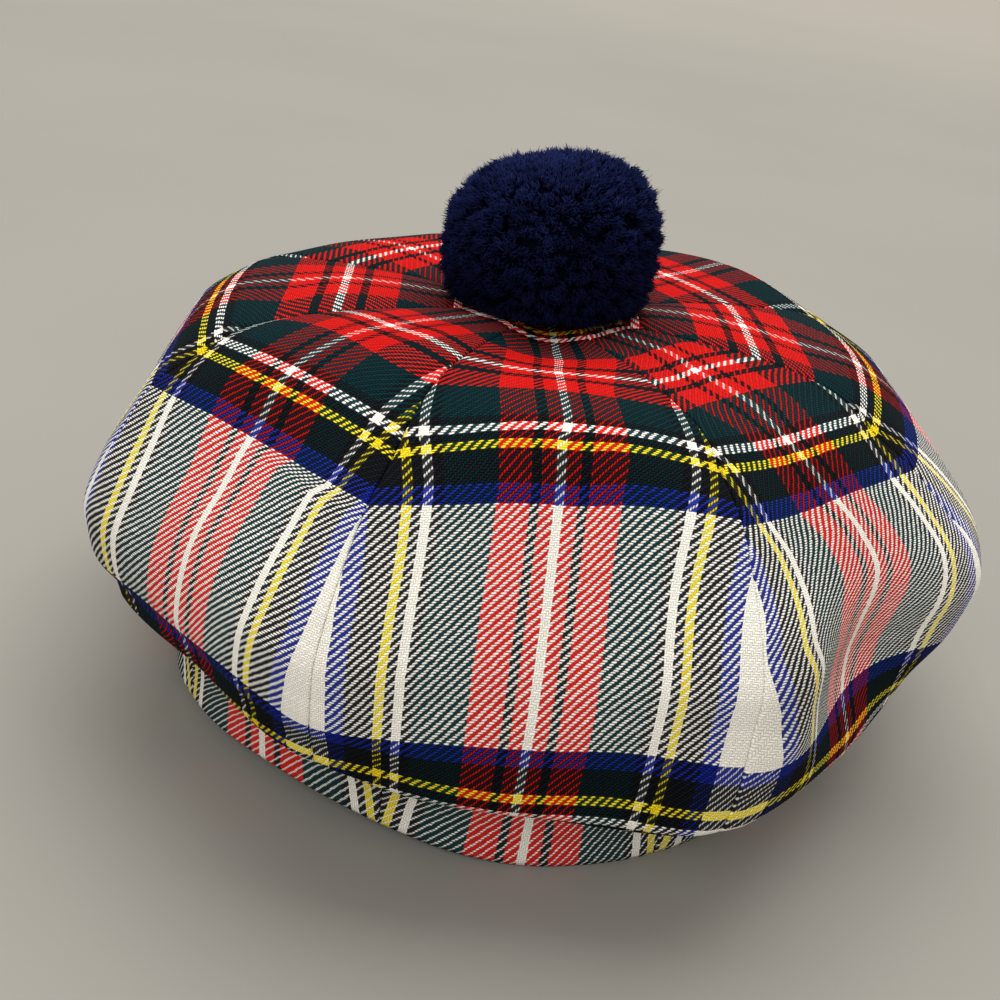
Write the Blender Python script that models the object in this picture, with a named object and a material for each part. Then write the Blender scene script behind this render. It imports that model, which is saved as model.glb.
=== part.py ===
"""A soft tam o' shanter: eight crown gores, eight under-brim gores and a wool pompom.

Every gore is worked out in its own flat pattern. A point of it is (across, v): across runs
from -1 at the left seam to 1 at the right one, and v is the distance from the middle of the
crown counted in weft threads. Two profiles, one along the seams and one along the middles of
the gores, carry v into a radius and a height, and a table gives what the hat has slumped out
of that even form. Azimuth 0 is the front gore, which faces -Y, and azimuth grows to +X.
Lengths are millimetres until the meshes are made.
"""

import math

import bmesh
import bpy
import numpy as np
from mathutils import Vector

# ---- driving dimensions -----------------------------------------------------------------
MM = 0.001
GORES = 8
GORE_STEP = 360.0 / GORES
CLOTH = 1.6               # worsted twill with its turned seam allowance, as one wall
SEAM_GAP = 0.30           # kept clear between two gores
FLOOR_DROP = 107.5        # from the yellow ring, which is height 0, down to the opening's edge
FRONT_RISE = 8.5          # the hat stands this much taller at its front than at its back
SIDE_RISE = 3.0           # and this much taller at +X than at its middle
RISE_REACH = 110.0        # how far out from the middle its front, back and sides lie
RISE_FULL = 24.0          # and it grows from nothing at the edge to all of it this high up
RIM_SEAM_V = 318.0        # the crown is sewn to the under-brim here
ARCH_AZIMUTH = -36.0      # the opening's edge lifts off the table in one low arch, here
ARCH_REACH = 46.0         # degrees either way
ARCH_HEIGHT = 5.5
PRESS_DEPTH = 2.0         # and there it is also pressed in by this much
ARCH_V = (330.0, 388.0)   # both grow from nothing to all of it, going down the under-brim
UNDER_TURN = 4.5          # degrees the under-brim's seams sit round from the crown's

POMPOM_RADIUS = 33.6      # out to the tips of its locks
POMPOM_TOP = 57.0
POMPOM_WAIST = 29.0       # height of its widest ring
POMPOM_FOOT = 13.0        # flat foot, clear of the crown
POMPOM_BELOW = 30.0       # how deep the ball would go below its waist without that foot
POMPOM_SQUARE = 2.5       # 2 would be a true ball; more fills out its shoulders
POMPOM_LOCK = 3.2         # how far the tip of a lock stands out of the ball
POMPOM_LEAN = (-1.0, 1.0)  # the ball sits a little off the middle
POMPOM_TILT = 0.12        # and its top is this share taller at +X, and lower at -X
LOCK_WAVES = (37.0, 23.0, 51.0)  # steps the locks through different lengths
LOCK_SPREAD = 0.25        # the shortest lock is shorter than the longest by twice this share
SAME_DIRECTION = 0.9999   # cosine: two corners of the coarse and the fine sphere are one

# ---- the even form ----------------------------------------------------------------------
# One row for each ring of the hat, from the middle of the crown to the rim seam.
PROFILE_COLUMNS = ("v", "middle_r", "middle_z", "seam_r", "seam_z")
PROFILE = (
    (0.0, 0.0, 11.0, 0.0, 11.0),
    (34.0, 20.3, 11.5, 22.0, 11.0),
    (66.0, 39.5, 12.0, 43.0, 11.0),
    (96.0, 57.5, 11.5, 62.5, 10.0),
    (122.0, 73.0, 10.0, 79.5, 7.5),
    (144.0, 86.0, 7.5, 91.0, 3.5),
    (158.0, 93.5, 3.0, 98.5, -2.0),
    (180.0, 101.5, -7.0, 111.0, -10.5),
    (205.0, 109.0, -20.0, 119.5, -22.0),
    (230.0, 115.5, -33.0, 127.0, -34.5),
    (255.0, 120.5, -46.5, 131.5, -47.5),
    (277.0, 123.0, -59.5, 131.5, -60.5),
    (298.0, 123.5, -71.0, 129.5, -71.5),
    (306.0, 122.5, -76.5, 128.0, -77.0),
    (318.0, 116.5, -81.0, 121.5, -81.5),
)
# The under-brim: in under the rim, then down round the head opening.
UNDER_COLUMNS = ("v", "middle_r", "seam_r", "z")
UNDER = (
    (318.0, 116.5, 121.5, -81.3),
    (332.0, 108.5, 110.5, -83.0),
    (344.0, 103.0, 104.0, -86.0),
    (356.0, 100.8, 101.2, -90.5),
    (372.0, 100.2, 100.4, -97.8),
    (388.0, 100.0, 100.2, -FLOOR_DROP),
)
# How far each seam and each middle is out of the even form, anticlockwise from the back as
# seen from above. Five lifts raise it: well inside the crown, at the crown's inner ring, at its
# edge, low on the wall and at the rim. Four swells push it out: at the shoulder, on the wall,
# low on the wall and at the rim.
SLUMP_STEP = 22.5
SLUMP_COLUMNS = ("azimuth", "inner_lift", "ring_lift", "edge_lift", "hang_lift", "rim_lift",
                 "shoulder", "wall", "low", "rim")
SLUMP = (
    (-180.0, 0.0, 1.0, 1.0, 0.0, 0.0, 0.0, 1.0, 1.0, 1.0),
    (-157.5, 0.0, 2.5, 1.5, 0.0, 0.0, 0.0, 1.0, 1.0, 0.0),
    (-135.0, 0.0, 1.0, -1.5, 0.0, 0.0, 1.0, 2.0, 0.0, -1.0),
    (-112.5, 0.0, 1.0, 4.0, 0.0, 5.0, 0.5, -1.5, -3.5, -9.0),
    (-90.0, 0.0, 0.0, 2.0, 0.0, 8.0, 1.0, 1.0, -3.5, -11.0),
    (-67.5, 0.0, 0.5, 2.0, 0.0, 8.5, 0.0, -2.0, -4.5, -10.5),
    (-45.0, 1.0, 3.0, -1.5, 1.0, 10.5, 0.0, 2.0, 0.0, -5.5),
    (-22.5, 1.0, 3.0, -1.0, 0.5, 4.0, -1.0, -1.0, -2.0, -3.5),
    (0.0, -4.0, 0.5, 3.0, 1.5, -3.0, -1.0, -1.0, 0.0, -0.5),
    (22.5, 0.0, 1.5, 4.0, 5.0, -4.0, 0.0, 2.0, 1.0, 4.0),
    (45.0, -2.0, -3.0, -3.5, -1.0, -3.5, 1.0, 1.0, -5.0, 2.5),
    (67.5, -0.5, -0.5, -2.5, 4.5, 0.0, -1.0, 6.5, 4.5, -6.0),
    (90.0, 0.5, -0.5, 0.5, 2.5, 2.0, 8.0, 17.0, 13.0, 1.0),
    (112.5, 0.0, 0.5, 4.5, 0.0, 0.0, 9.5, 17.0, 12.0, 0.0),
    (135.0, 0.0, 1.5, 7.0, 0.0, 0.0, 6.0, 9.0, 6.0, 1.0),
    (157.5, 0.0, 4.0, 7.0, 0.0, 0.0, 0.0, 0.0, 1.0, 1.0),
)
# Where each column of SLUMP is felt in full; it fades straight to the next one.
INNER_LIFT_V = 60.0
RING_LIFT_V = 115.0
EDGE_LIFT_V = 158.0
SHOULDER_V = 180.0
WALL_V = 230.0
LOW_V = 272.0
RIM_V = 304.0
HANG_END_V = 350.0
# Nearer the middle the inner lift dies away to this share of itself.
MIDDLE_V = 20.0
MIDDLE_SHARE = 0.4
SWELL_ENDS = (144.0, 344.0)
# A fade is averaged over this many threads either way, which rounds its corners.
FADE_SHIFTS = (-14.0, -7.0, 0.0, 7.0, 14.0)
FADE_SHARES = (0.12, 0.23, 0.30, 0.23, 0.12)
# Soft dents and lobes: the middle of each, its reach and its depth (outwards is positive).
FOLD_COLUMNS = ("azimuth", "v", "reach_deg", "reach_v", "depth")
FOLDS = (
    (52.0, 262.0, 9.0, 40.0, -3.5),
    (31.0, 258.0, 8.0, 45.0, 2.0),
    (-33.0, 250.0, 7.0, 40.0, 2.0),
    (-11.0, 286.0, 6.0, 18.0, 1.2),
    (10.0, 292.0, 7.0, 16.0, -1.2),
    (-56.0, 278.0, 7.0, 22.0, -1.5),
    (79.0, 232.0, 10.0, 34.0, 1.5),
    (128.0, 268.0, 9.0, 34.0, -3.0),
    (-142.0, 264.0, 10.0, 36.0, -2.5),
    (170.0, 270.0, 10.0, 30.0, 2.0),
)
FOLDS_END = (306.0, 340.0)  # the folds die out round the rim
# How round the wall turns over a seam: 0 is a crisp ridge, 1 a full curve.
ROUNDNESS_V = (0.0, 158.0, 205.0, 260.0, 318.0)
ROUNDNESS = (0.0, 0.1, 0.35, 0.8, 0.9)

# ---- mesh density -----------------------------------------------------------------------
CROWN_ROWS = (6, 20, 34, 50, 66, 82, 96, 109, 122, 134, 144, 151, 158, 168, 180, 192, 205,
              217, 230, 243, 255, 266, 277, 288, 298, 303, 308, 313, 318)
UNDER_ROWS = (318, 325, 332, 338, 344, 350, 356, 364, 376, 388)
CROWN_COLUMNS = 8
UNDER_COLUMNS_ACROSS = 8

# ---- the materials ----------------------------------------------------------------------
TARTAN_COLOUR = (0.62, 0.56, 0.50, 1.0)
TWILL_ROUGHNESS = 0.9
NAVY_COLOUR = (0.010, 0.012, 0.055, 1.0)
WOOL_ROUGHNESS = 0.95


def clear_scene():
    for obj in list(bpy.data.objects):
        bpy.data.objects.remove(obj, do_unlink=True)


def column(rows, names, wanted):
    """One named column of a table, as an array."""
    return np.array([row[names.index(wanted)] for row in rows])


def smooth_curve(stations, values, at):
    """A curve through the stations with no overshoot (monotone cubic)."""
    step = np.diff(stations)
    slope = np.diff(values) / step
    tangent = np.zeros(len(values))
    tangent[0] = slope[0]
    tangent[-1] = slope[-1]
    for i in range(1, len(values) - 1):
        if slope[i - 1] * slope[i] > 0:
            before = 2 * step[i] + step[i - 1]
            after = step[i] + 2 * step[i - 1]
            tangent[i] = (before + after) / (before / slope[i - 1] + after / slope[i])
    cell = np.clip(np.searchsorted(stations, at, side="right") - 1, 0, len(step) - 1)
    s = (at - stations[cell]) / step[cell]
    return (
        (1 + 2 * s) * (1 - s) ** 2 * values[cell]
        + s * (1 - s) ** 2 * step[cell] * tangent[cell]
        + s * s * (3 - 2 * s) * values[cell + 1]
        + s * s * (s - 1) * step[cell] * tangent[cell + 1]
    )


def even_form(v, kind):
    """Radius and height of the even hat at v, along a seam or along a gore's middle."""
    crown_v = column(PROFILE, PROFILE_COLUMNS, "v")
    under_v = column(UNDER, UNDER_COLUMNS, "v")
    in_crown = v <= RIM_SEAM_V
    radius = np.where(
        in_crown,
        smooth_curve(crown_v, column(PROFILE, PROFILE_COLUMNS, kind + "_r"), np.minimum(v, RIM_SEAM_V)),
        smooth_curve(under_v, column(UNDER, UNDER_COLUMNS, kind + "_r"), np.maximum(v, RIM_SEAM_V)),
    )
    height = np.where(
        in_crown,
        smooth_curve(crown_v, column(PROFILE, PROFILE_COLUMNS, kind + "_z"), np.minimum(v, RIM_SEAM_V)),
        smooth_curve(under_v, column(UNDER, UNDER_COLUMNS, "z"), np.maximum(v, RIM_SEAM_V)),
    )
    return radius, height


def fade(v, stations, values):
    """Straight from one station's value to the next; a value may differ from place to place."""
    total = values[0]
    for i in range(len(stations) - 1):
        share = np.clip((v - stations[i]) / (stations[i + 1] - stations[i]), 0.0, 1.0)
        total = total + share * (values[i + 1] - values[i])
    return total


def slump(v, azimuth):
    """What the line at this azimuth (a seam or a middle) is out by: lift and radius."""
    row = np.rint((azimuth + 180.0) / SLUMP_STEP).astype(int) % len(SLUMP)

    def value(name):
        return column(SLUMP, SLUMP_COLUMNS, name)[row]

    lift = fade(
        v,
        (MIDDLE_V, INNER_LIFT_V, RING_LIFT_V, EDGE_LIFT_V, LOW_V, RIM_V, HANG_END_V),
        (value("inner_lift") * MIDDLE_SHARE, value("inner_lift"), value("ring_lift"),
         value("edge_lift"), value("hang_lift"), value("rim_lift"), 0.0),
    )
    swell = fade(
        v,
        (SWELL_ENDS[0], SHOULDER_V, WALL_V, LOW_V, RIM_V, SWELL_ENDS[1]),
        (0.0, value("shoulder"), value("wall"), value("low"), value("rim"), 0.0),
    )
    return lift, swell


def smooth_slump(v, azimuth):
    """The same, with the corners of its straight fades rounded off."""
    lift = 0.0
    swell = 0.0
    for shift, share in zip(FADE_SHIFTS, FADE_SHARES):
        one_lift, one_swell = slump(v + shift, azimuth)
        lift = lift + share * one_lift
        swell = swell + share * one_swell
    return lift, swell


def folds(v, azimuth):
    """Sum of the soft dents and lobes at these places."""
    total = np.zeros(np.broadcast(v, azimuth).shape)
    for row in FOLDS:
        fold = dict(zip(FOLD_COLUMNS, row))
        turn = (azimuth - fold["azimuth"] + 180.0) % 360.0 - 180.0
        along = (v - fold["v"]) / fold["reach_v"]
        total += fold["depth"] * np.exp(-((turn / fold["reach_deg"]) ** 2) - along**2)
    return total * np.interp(v, FOLDS_END, (1.0, 0.0))


def arch_share(azimuth):
    """1 in the middle of the arch, falling to 0 at its two ends."""
    turn = (azimuth - ARCH_AZIMUTH + 180.0) % 360.0 - 180.0
    return np.cos(0.5 * np.pi * np.clip(turn / ARCH_REACH, -1.0, 1.0)) ** 2


def hat_surface(azimuth, v):
    """(radius, height) of the hat's outer face: through the crown gore that this azimuth is on."""
    gore_middle = GORE_STEP * np.rint(azimuth / GORE_STEP)
    across = np.tan(np.radians(azimuth - gore_middle)) / math.tan(math.pi / GORES)
    middle_r, middle_z = even_form(v, "middle")
    seam_r, seam_z = even_form(v, "seam")
    middle_lift, middle_swell = smooth_slump(v, gore_middle)
    seam_lift, seam_swell = smooth_slump(v, gore_middle + np.sign(across) * GORE_STEP / 2)
    roundness = np.interp(v, ROUNDNESS_V, ROUNDNESS)
    toward_seam = (1 - roundness) * across**2 + roundness * 0.5 * (1 - np.cos(np.pi * across))
    radius = middle_r + middle_swell + (seam_r + seam_swell - middle_r - middle_swell) * toward_seam
    height = middle_z + middle_lift + (seam_z + seam_lift - middle_z - middle_lift) * toward_seam
    arch = arch_share(azimuth) * np.interp(v, ARCH_V, (0.0, 1.0))
    return radius + folds(v, azimuth) - PRESS_DEPTH * arch, height + ARCH_HEIGHT * arch


def outward(azimuth, v):
    """Unit normal in the plane through the hat's axis, so two gores agree along their seam."""
    small = 0.5
    r0, z0 = hat_surface(azimuth, v - small)
    r1, z1 = hat_surface(azimuth, v + small)
    length = np.hypot(r1 - r0, z1 - z0)
    return -(z1 - z0) / length, (r1 - r0) / length


def rise(x, y):
    """How much taller the hat stands here than its lowest side."""
    toward_front = np.clip(0.5 - 0.5 * y / RISE_REACH, 0.0, 1.0)
    return FRONT_RISE * toward_front**2 + SIDE_RISE * x / RISE_REACH


def placed(radius, height, azimuth, tangential):
    """Cylindrical to Cartesian, with a shift along the tangent; the opening's edge is z = 0."""
    turn = np.radians(azimuth)
    x = radius * np.sin(turn) + tangential * np.cos(turn)
    y = -radius * np.cos(turn) + tangential * np.sin(turn)
    z = height + FLOOR_DROP
    z = z + rise(x, y) * np.clip(z / RISE_FULL, 0.0, 1.0)
    return np.stack([x, y, z], axis=-1)


def gore_points(middle_azimuth, rows, columns, level_foot):
    """Outer and inner grids of points of one gore."""
    edge = np.linspace(-1.0, 1.0, columns + 1)
    v, across = np.meshgrid(np.array(rows, float), edge, indexing="ij")
    azimuth = middle_azimuth + np.degrees(np.arctan(across * math.tan(math.pi / GORES)))
    radius, height = hat_surface(azimuth, v)
    n_r, n_z = outward(azimuth, v)
    if level_foot:
        n_r[-1, :] = 1.0
        n_z[-1, :] = 0.0
    tangential = -across * SEAM_GAP / 2
    outer = placed(radius, height, azimuth, tangential)
    inner = placed(radius - CLOTH * n_r, height - CLOTH * n_z, azimuth, tangential)
    return outer, inner


def shell_mesh(name, outer, inner):
    """A closed cloth wall between two grids of the same size."""
    rows, columns = outer.shape[:2]
    count = rows * columns
    points = np.concatenate([outer.reshape(-1, 3), inner.reshape(-1, 3)]) * MM

    def corner(i, j, side):
        return side * count + i * columns + j

    faces = []
    for i in range(rows - 1):
        for j in range(columns - 1):
            faces.append((corner(i, j, 0), corner(i + 1, j, 0), corner(i + 1, j + 1, 0), corner(i, j + 1, 0)))
            faces.append((corner(i, j, 1), corner(i, j + 1, 1), corner(i + 1, j + 1, 1), corner(i + 1, j, 1)))
    for j in range(columns - 1):
        faces.append((corner(0, j, 0), corner(0, j + 1, 0), corner(0, j + 1, 1), corner(0, j, 1)))
        last = rows - 1
        faces.append((corner(last, j, 0), corner(last, j, 1), corner(last, j + 1, 1), corner(last, j + 1, 0)))
    for i in range(rows - 1):
        faces.append((corner(i, 0, 0), corner(i, 0, 1), corner(i + 1, 0, 1), corner(i + 1, 0, 0)))
        end = columns - 1
        faces.append((corner(i, end, 0), corner(i + 1, end, 0), corner(i + 1, end, 1), corner(i, end, 1)))
    return mesh_of(name, [tuple(p) for p in points], faces)


def mesh_of(name, points, faces):
    mesh = bpy.data.meshes.new(name)
    mesh.from_pydata(points, [], faces)
    work = bmesh.new()
    work.from_mesh(mesh)
    bmesh.ops.triangulate(work, faces=work.faces[:], quad_method="BEAUTY")
    bmesh.ops.recalc_face_normals(work, faces=work.faces[:])
    work.to_mesh(mesh)
    work.free()
    mesh.update()
    return mesh


def plain_material(name, colour, roughness):
    material = bpy.data.materials.new(name)
    material.use_nodes = True
    shader = material.node_tree.nodes["Principled BSDF"]
    shader.inputs["Base Color"].default_value = colour
    shader.inputs["Roughness"].default_value = roughness
    material.diffuse_color = colour
    return material


def add_object(name, mesh, material):
    obj = bpy.data.objects.new(name, mesh)
    obj.data.materials.append(material)
    bpy.context.scene.collection.objects.link(obj)
    return obj


def gore_azimuth(index):
    """Gore 1 is the front one, and the count runs on to +X."""
    return (index - 1) * GORE_STEP


def trimmed(outer, inner, first, last):
    """Ends of a gore drawn back along the cloth, so that the rim seam keeps its gap."""
    for grid in (outer, inner):
        if first:
            step = grid[1] - grid[0]
            grid[0] += step * (SEAM_GAP / 2 / np.linalg.norm(step, axis=-1, keepdims=True))
        if last:
            step = grid[-2] - grid[-1]
            grid[-1] += step * (SEAM_GAP / 2 / np.linalg.norm(step, axis=-1, keepdims=True))
    return outer, inner


def crown_gores():
    meshes = {}
    for index in range(1, GORES + 1):
        outer, inner = gore_points(gore_azimuth(index), CROWN_ROWS, CROWN_COLUMNS, False)
        outer, inner = trimmed(outer, inner, first=False, last=True)
        meshes[f"crown_gore_{index}"] = shell_mesh(f"crown_gore_{index}", outer, inner)
    return meshes


def under_gores():
    meshes = {}
    for index in range(1, GORES + 1):
        middle = gore_azimuth(index) + UNDER_TURN
        outer, inner = gore_points(middle, UNDER_ROWS, UNDER_COLUMNS_ACROSS, True)
        outer, inner = trimmed(outer, inner, first=True, last=False)
        meshes[f"under_gore_{index}"] = shell_mesh(f"under_gore_{index}", outer, inner)
    return meshes


def pompom_ball(direction, stand_out):
    """Where this direction from the waist leaves the ball, with stand_out added."""
    above = (POMPOM_TOP - POMPOM_WAIST - POMPOM_LOCK) * (1.0 + POMPOM_TILT * direction.x)
    depth = above if direction.z > 0 else POMPOM_BELOW
    side = POMPOM_RADIUS - POMPOM_LOCK
    out = math.hypot(direction.x, direction.y) / side
    up = abs(direction.z) / depth
    stretch = (out**POMPOM_SQUARE + up**POMPOM_SQUARE) ** (-1.0 / POMPOM_SQUARE)
    point = direction * (stretch + stand_out)
    x = point.x + POMPOM_LEAN[0]
    y = point.y + POMPOM_LEAN[1]
    height = max(point.z + POMPOM_WAIST, POMPOM_FOOT)
    return Vector((x, y, height + FLOOR_DROP + rise(x, y)))


def pompom():
    """A ball of locks: each corner of a coarse sphere is a lock's tip, the rest lie between."""
    coarse = bmesh.new()
    bmesh.ops.create_icosphere(coarse, subdivisions=2, radius=1.0)
    tips = [vert.co.normalized() for vert in coarse.verts]
    coarse.free()
    work = bmesh.new()
    bmesh.ops.create_icosphere(work, subdivisions=3, radius=1.0)
    for vert in work.verts:
        direction = vert.co.normalized()
        is_tip = max(direction.dot(tip) for tip in tips) > SAME_DIRECTION
        length = 1.0 - LOCK_SPREAD * (1.0 - math.sin(direction.dot(Vector(LOCK_WAVES))))
        vert.co = pompom_ball(direction, POMPOM_LOCK * length if is_tip else 0.0) * MM
    mesh = bpy.data.meshes.new("pompom")
    work.to_mesh(mesh)
    work.free()
    return {"pompom": mesh}


def centre_on_axis(meshes):
    """Moves the whole hat so that the middle of its box is over the origin."""
    points = np.array([tuple(vert.co) for mesh in meshes.values() for vert in mesh.vertices])
    middle = (points.max(axis=0) + points.min(axis=0)) / 2
    for mesh in meshes.values():
        for vert in mesh.vertices:
            vert.co.x -= middle[0]
            vert.co.y -= middle[1]
    print("moved by", np.round(-middle[:2] / MM, 3), "mm")


def build():
    clear_scene()
    meshes = {}
    meshes.update(crown_gores())
    meshes.update(under_gores())
    meshes.update(pompom())
    centre_on_axis(meshes)
    for name, mesh in meshes.items():
        if name == "pompom":
            add_object(name, mesh, plain_material("navy_wool", NAVY_COLOUR, WOOL_ROUGHNESS))
        else:
            add_object(name, mesh, plain_material(name + "_twill", TARTAN_COLOUR, TWILL_ROUGHNESS))


build()
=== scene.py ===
# %% [markdown]
# # A tartan tam o' shanter
#
# The hat is eight wide gores of worsted tartan sewn into a crown, eight narrow gores of the same
# cloth sewn under its rim, and a navy wool pompom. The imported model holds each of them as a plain
# solid. This lesson dresses those solids: finer cloth with soft seams, a weave that is worked out
# thread by thread, and a pompom of cut yarn. First the frame is loaded, and its box is kept, so
# that the dressed hat can be compared with it at the end.

# %% Load the frame
import math

import bmesh
import bpy
import numpy as np
from mathutils import Matrix, Vector, noise


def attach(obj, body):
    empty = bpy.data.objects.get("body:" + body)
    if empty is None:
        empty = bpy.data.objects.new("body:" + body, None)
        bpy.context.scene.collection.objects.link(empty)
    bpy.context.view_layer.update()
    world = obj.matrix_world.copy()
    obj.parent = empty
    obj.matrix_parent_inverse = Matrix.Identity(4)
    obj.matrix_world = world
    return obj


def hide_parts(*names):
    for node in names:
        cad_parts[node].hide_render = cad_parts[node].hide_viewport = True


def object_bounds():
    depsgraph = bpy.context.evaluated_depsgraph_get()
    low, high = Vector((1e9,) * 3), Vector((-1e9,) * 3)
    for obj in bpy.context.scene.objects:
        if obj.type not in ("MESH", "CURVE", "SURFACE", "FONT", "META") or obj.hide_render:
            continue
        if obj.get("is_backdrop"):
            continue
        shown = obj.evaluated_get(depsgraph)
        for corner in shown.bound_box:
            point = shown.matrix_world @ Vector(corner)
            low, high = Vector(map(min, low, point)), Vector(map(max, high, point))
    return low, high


def linked(name, data):
    """A new object of this mesh, light or camera, put in the scene."""
    made = bpy.data.objects.new(name, data)
    bpy.context.scene.collection.objects.link(made)
    return made


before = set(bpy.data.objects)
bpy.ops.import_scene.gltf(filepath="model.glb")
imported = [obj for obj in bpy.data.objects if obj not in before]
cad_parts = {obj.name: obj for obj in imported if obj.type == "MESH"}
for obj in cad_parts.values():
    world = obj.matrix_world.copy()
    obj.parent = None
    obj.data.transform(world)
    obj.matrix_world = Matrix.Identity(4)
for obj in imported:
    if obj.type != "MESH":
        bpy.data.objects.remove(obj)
cad_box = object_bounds()
print("solids in the frame:", len(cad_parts))

# %% [markdown]
# ## The camera
#
# The hat was photographed from a little above, close to, with the camera tilted. A camera could be
# placed by eye and nudged. Here its place, its three turns and its focal length are named values,
# because the same seams and stripes have to fall on the same spots of a 1000 pixel frame. The turn
# is built from three unit vectors: where the camera looks, what is to its right, and what is up.

# %% The camera
MM = 0.001
FRAME_PIXELS = 1000.0
SENSOR_MM = 36.0
CAMERA_PLACE = (-41.9, -360.9, 240.8)
LOOKS_DOWN = math.radians(27.08)
LOOKS_LEFT = math.radians(-4.73)
ROLL = math.radians(8.98)
FOCAL_PIXELS = 1307.8


def camera_turn():
    """The camera's own axes, as the columns of a turn."""
    back = Vector((
        math.sin(LOOKS_LEFT) * math.cos(LOOKS_DOWN),
        -math.cos(LOOKS_LEFT) * math.cos(LOOKS_DOWN),
        math.sin(LOOKS_DOWN),
    ))
    level = Vector((0.0, 0.0, 1.0)).cross(back).normalized()
    steep = back.cross(level)
    right = math.cos(ROLL) * level + math.sin(ROLL) * steep
    up = math.cos(ROLL) * steep - math.sin(ROLL) * level
    return Matrix((right, up, back)).transposed()


camera = linked("camera", bpy.data.cameras.new("camera"))
camera.data.sensor_width = SENSOR_MM
camera.data.lens = FOCAL_PIXELS / FRAME_PIXELS * SENSOR_MM
camera.matrix_world = Matrix.Translation(Vector(CAMERA_PLACE) * MM) @ camera_turn().to_4x4()
bpy.context.scene.camera = camera
print("lens", round(camera.data.lens, 1), "mm")

# %% [markdown]
# ## Writing finishes as sums
#
# A material is a graph of nodes, and a weave needs dozens of small sums. Wiring each Math node by
# hand hides what is being worked out. So a socket is wrapped in a small class whose plus, minus and
# times add the Math nodes, and every other kind of node comes from one method that takes its type,
# its settings, and what goes into its sockets.

# %% Finish and Field
class Field:
    """A value that changes over a surface. Arithmetic on it adds Math nodes."""

    def __init__(self, finish, socket):
        self.finish = finish
        self.socket = socket

    def output(self, name):
        """Another output of the node that this one comes from."""
        return Field(self.finish, self.socket.node.outputs[name])

    def math(self, operation, *values):
        """A Math node on these values, in the order of its sockets."""
        return self.finish.node("ShaderNodeMath", {"operation": operation}, dict(enumerate(values)))

    def __add__(self, other):
        return self.math("ADD", self, other)

    def __sub__(self, other):
        return self.math("SUBTRACT", self, other)

    def __mul__(self, other):
        return self.math("MULTIPLY", self, other)

    def __truediv__(self, other):
        return self.math("DIVIDE", self, other)

    def __mod__(self, other):
        return self.math("FLOORED_MODULO", self, other)

    def __pow__(self, other):
        return self.math("POWER", self, other)

    def __lt__(self, other):
        return self.math("LESS_THAN", self, other)

    def __rsub__(self, other):
        return self.math("SUBTRACT", other, self)

    __radd__ = __add__
    __rmul__ = __mul__

    def floor(self):
        return self.math("FLOOR", self)


class Finish:
    """A material, with its Principled shader and the one method that adds nodes."""

    def __init__(self, name, **constants):
        self.material = bpy.data.materials.new(name)
        self.material.use_nodes = True
        self.tree = self.material.node_tree
        self.shader = self.tree.nodes["Principled BSDF"]
        for socket, value in constants.items():
            self.shader.inputs[socket.replace("_", " ")].default_value = value

    def feed(self, socket, value):
        """A field is linked to the socket, and a plain value is written on it."""
        if isinstance(value, Field):
            self.tree.links.new(value.socket, socket)
        else:
            socket.default_value = value

    def node(self, kind, settings=None, inputs=None, output=0):
        made = self.tree.nodes.new(kind)
        for setting, value in (settings or {}).items():
            if setting == "stops":
                set_stops(made.color_ramp, value)
            else:
                setattr(made, setting, value)
        for socket, value in (inputs or {}).items():
            self.feed(made.inputs[socket], value)
        return Field(self, made.outputs[output])

    def mix(self, share, first, second, blend="MIX"):
        """Two colours through a Mix node."""
        settings = {"data_type": "RGBA", "blend_type": blend}
        return self.node("ShaderNodeMix", settings, {0: share, 6: first, 7: second}, output=2)

    def soft_step(self, value, start, end):
        """0 up to the start, 1 from the end on, and a soft step between."""
        settings = {"interpolation_type": "SMOOTHSTEP"}
        inputs = {"Value": value, "From Min": start, "From Max": end}
        return self.node("ShaderNodeMapRange", settings, inputs)

    def surface(self, **fields):
        """What changes over the surface, by the name of the shader's socket."""
        for socket, value in fields.items():
            self.feed(self.shader.inputs[socket.replace("_", " ")], value)
        return self.material


def set_stops(ramp, stops):
    """The stops of a colour ramp: (kind of step, [(place, colour), ...])."""
    ramp.interpolation, places = stops
    while len(ramp.elements) < len(places):
        ramp.elements.new(1.0)
    for element, (place, colour) in zip(ramp.elements, places):
        element.position = place
        element.color = colour


def dyed(red, green, blue):
    """A colour as it looks on a screen, 0 to 255, as the linear colour that Blender uses."""
    shares = [channel / 255 for channel in (red, green, blue)]
    linear = [s / 12.92 if s <= 0.04045 else ((s + 0.055) / 1.055) ** 2.4 for s in shares]
    return (*linear, 1.0)


# %% [markdown]
# ## Floor and light
#
# The hat stands on its opening's edge on a plain pale floor, wide enough to fill the frame. In the
# photograph soft light comes from above and from all round, with no hard shadow, so one wide panel
# hangs over the hat, a weaker one fills from the front, and the sky is a pale grey. Painted light
# makes the floor paler further out, where the panel no longer reaches, as if it curved up into a
# backdrop.

# %% Floor and light
FLOOR_REACH = 9.0
FLOOR_CLEAR = 0.3
SKY_GREY = dyed(196, 191, 184)
FLOOR_GREYS = (dyed(138, 136, 130), dyed(146, 144, 138))
FAR_FLOOR_PAINTED_LIGHT = dyed(228, 222, 212)
CLOUDS = {"Scale": 3.0, "Detail": 3.0}
PAINTED_LIGHT_ENDS = (1.0, 5.0)


def floor_finish():
    paint = Finish("floor_paint", Roughness=0.95, Specular_IOR_Level=0.0)
    places = paint.node("ShaderNodeNewGeometry")
    cloud = paint.node("ShaderNodeTexNoise", inputs={"Vector": places, **CLOUDS})
    near = paint.mix(cloud, *FLOOR_GREYS)
    reach = paint.node("ShaderNodeVectorMath", {"operation": "LENGTH"}, {0: places}, output="Value")
    # painted light: the floor's colour grows paler with distance from the hat
    painted_far_light = paint.soft_step(reach, *PAINTED_LIGHT_ENDS)
    return paint.surface(Base_Color=paint.mix(painted_far_light, near, FAR_FLOOR_PAINTED_LIGHT))


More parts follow.
